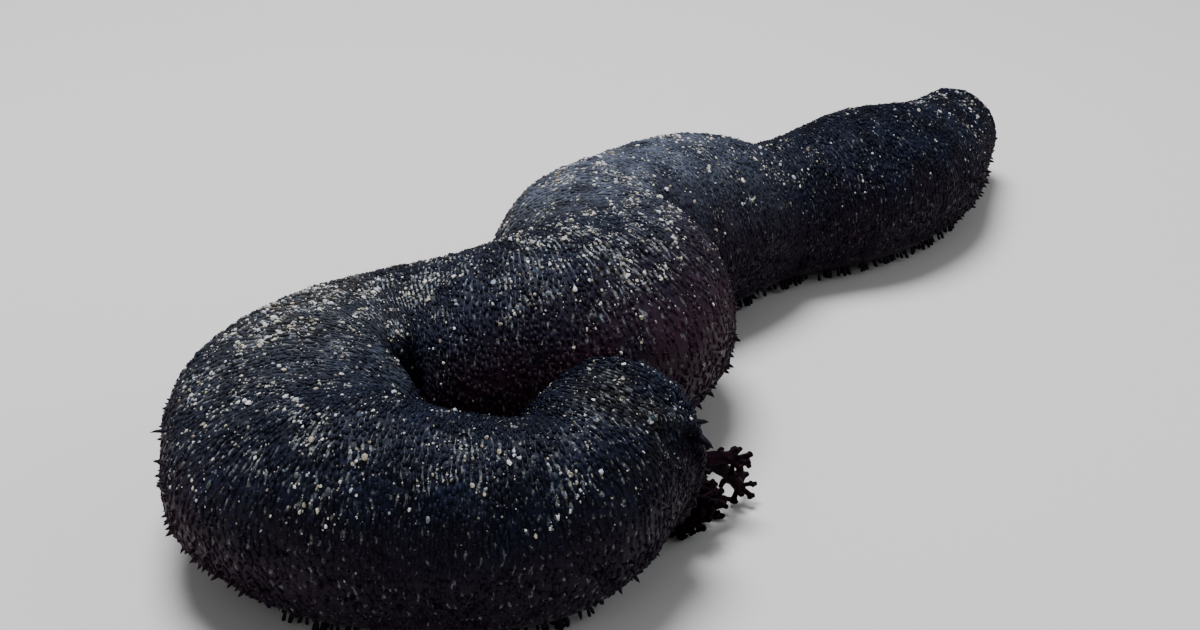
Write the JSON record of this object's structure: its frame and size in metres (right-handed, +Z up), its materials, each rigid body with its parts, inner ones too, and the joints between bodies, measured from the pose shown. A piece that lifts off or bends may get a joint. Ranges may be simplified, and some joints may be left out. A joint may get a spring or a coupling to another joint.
{
  "type": "sea cucumber",
  "caption": "Still, life-size black sea cucumber resting in a loose double bend, its head curled beside its body and its feeding tentacles spread",
  "frame": {"origin": "on the floor, under the middle of the whole animal's box", "axes": "+Z up; +Y away from the picture's viewer, along the animal's longest extent; +X to the picture's right"},
  "size_m": [0.189, 0.2301, 0.0454],
  "materials": {
    "anal_end": "satin",
    "hind_trunk": "satin",
    "rear_trunk": "satin",
    "hump": "satin",
    "middle_trunk": "satin",
    "curl_start": "satin",
    "curl_end": "satin",
    "front_trunk": "satin",
    "head": "satin",
    "mouth": "satin",
    "tentacle_01": "satin",
    "tentacle_02": "satin",
    "tentacle_03": "satin",
    "tentacle_04": "satin",
    "tentacle_05": "satin",
    "tentacle_06": "satin",
    "tentacle_07": "satin",
    "tentacle_08": "satin",
    "tentacle_09": "satin",
    "tentacle_10": "satin",
    "tentacle_11": "satin",
    "tentacle_12": "satin",
    "tentacle_13": "satin",
    "tentacle_14": "satin",
    "tentacle_15": "satin",
    "tentacle_16": "satin",
    "tentacle_17": "satin",
    "tentacle_18": "satin",
    "tentacle_19": "satin",
    "tentacle_20": "satin"
  },
  "bodies": {
    "root": {"anal_end": "anal_end", "hind_trunk": "hind_trunk", "rear_trunk": "rear_trunk", "hump": "hump", "middle_trunk": "middle_trunk", "curl_start": "curl_start", "curl_end": "curl_end", "front_trunk": "front_trunk", "head": "head", "mouth": "mouth", "tentacle_01": "tentacle_01", "tentacle_02": "tentacle_02", "tentacle_03": "tentacle_03", "tentacle_04": "tentacle_04", "tentacle_05": "tentacle_05", "tentacle_06": "tentacle_06", "tentacle_07": "tentacle_07", "tentacle_08": "tentacle_08", "tentacle_09": "tentacle_09", "tentacle_10": "tentacle_10", "tentacle_11": "tentacle_11", "tentacle_12": "tentacle_12", "tentacle_13": "tentacle_13", "tentacle_14": "tentacle_14", "tentacle_15": "tentacle_15", "tentacle_16": "tentacle_16", "tentacle_17": "tentacle_17", "tentacle_18": "tentacle_18", "tentacle_19": "tentacle_19", "tentacle_20": "tentacle_20"}
  },
  "joints": []
}
